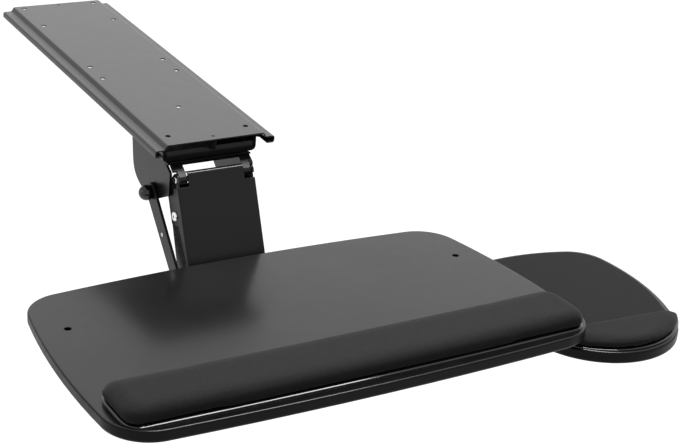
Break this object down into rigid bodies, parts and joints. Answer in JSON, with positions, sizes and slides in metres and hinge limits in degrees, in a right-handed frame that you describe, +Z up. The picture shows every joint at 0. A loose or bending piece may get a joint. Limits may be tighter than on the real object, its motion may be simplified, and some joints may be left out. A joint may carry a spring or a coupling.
{
  "type": "keyboard tray",
  "caption": "Black under-desk keyboard tray with palm rest, hung from a sliding, swivelling and tilting steel arm, with a mouse tray that swings out at the side.",
  "frame": {"origin": "centre of the four corner screw holes, on the top face of the track", "axes": "+Z up, -Y towards the user, +X to the user's right"},
  "size_m": [0.6805, 0.822, 0.1732],
  "materials": {
    "black_steel": "satin",
    "cover_steel": "fine texture",
    "zinc_steel": "zinc plated",
    "chrome_pin": "polished",
    "chrome_screw": "polished",
    "black_rubber": "matte",
    "nylon": "matte",
    "black_plastic": "matte",
    "knob_plastic": "gloss",
    "tray_board": "satin",
    "palm_base_plastic": "gloss",
    "palm_fabric": "fine knit",
    "mat_fabric": "fine weave"
  },
  "bodies": {
    "track": {"track": "black_steel", "track_stops": "black_rubber", "stop_screws": "black_steel"},
    "carriage": {"carriage_pan": "black_steel", "carriage_glides": "nylon", "swivel_bolt": "zinc_steel", "swivel_washers": "nylon", "swivel_nut": "zinc_steel"},
    "swivel": {"swivel_bracket": "black_steel", "hinge_pin": "chrome_pin"},
    "arm": {"arm_channel": "black_steel", "arm_cover": "cover_steel", "cover_screws": "chrome_screw", "tilt_pin": "zinc_steel", "tilt_nut": "zinc_steel", "tilt_washers": "nylon", "ear_washers": "nylon", "lever_spacer": "black_steel"},
    "lever": {"release_lever": "black_steel", "ball_knob": "knob_plastic", "knob_stud": "zinc_steel", "lever_rivet": "zinc_steel"},
    "head": {"tray_head": "black_steel", "tilt_sleeve": "zinc_steel", "head_screws": "zinc_steel", "keyboard_tray": "tray_board", "palm_base": "palm_base_plastic", "palm_pad": "palm_fabric", "mouse_bolt": "zinc_steel", "mouse_spacer": "black_plastic", "mouse_pivot_washer": "nylon", "mouse_nut": "zinc_steel"},
    "mouse": {"mouse_arm": "black_steel", "mouse_arm_screws": "zinc_steel", "mouse_tray": "tray_board", "mouse_mat": "mat_fabric", "mouse_palm_base": "palm_base_plastic", "mouse_palm_pad": "palm_fabric"}
  },
  "joints": [
    {"name": "carriage_slide", "type": "slide", "parent": "track", "child": "carriage", "axis": [0, 1, 0], "range_m": [0, 0.33]},
    {"name": "swivel", "type": "hinge", "parent": "carriage", "child": "swivel", "pos_m": [0, -0.1715, -0.03], "axis": [0, 0, 1], "continuous": true},
    {"name": "arm_lift", "type": "hinge", "parent": "swivel", "child": "arm", "pos_m": [0, -0.2327, -0.042], "axis": [1, 0, 0], "range_deg": [-80, 15]},
    {"name": "head_tilt", "type": "hinge", "parent": "arm", "child": "head", "pos_m": [0, -0.27712, -0.15923], "axis": [-1, 0, 0], "range_deg": [-95, 15]},
    {"name": "release_lever", "type": "hinge", "parent": "arm", "child": "lever", "pos_m": [-0.052, -0.27712, -0.15923], "axis": [-1, 0, 0], "range_deg": [-8, 20]},
    {"name": "mouse_swing", "type": "hinge", "parent": "head", "child": "mouse", "pos_m": [0.2236, -0.38224, -0.14869], "axis": [0, 0.0579, 0.9983], "range_deg": [-55, 95]}
  ]
}
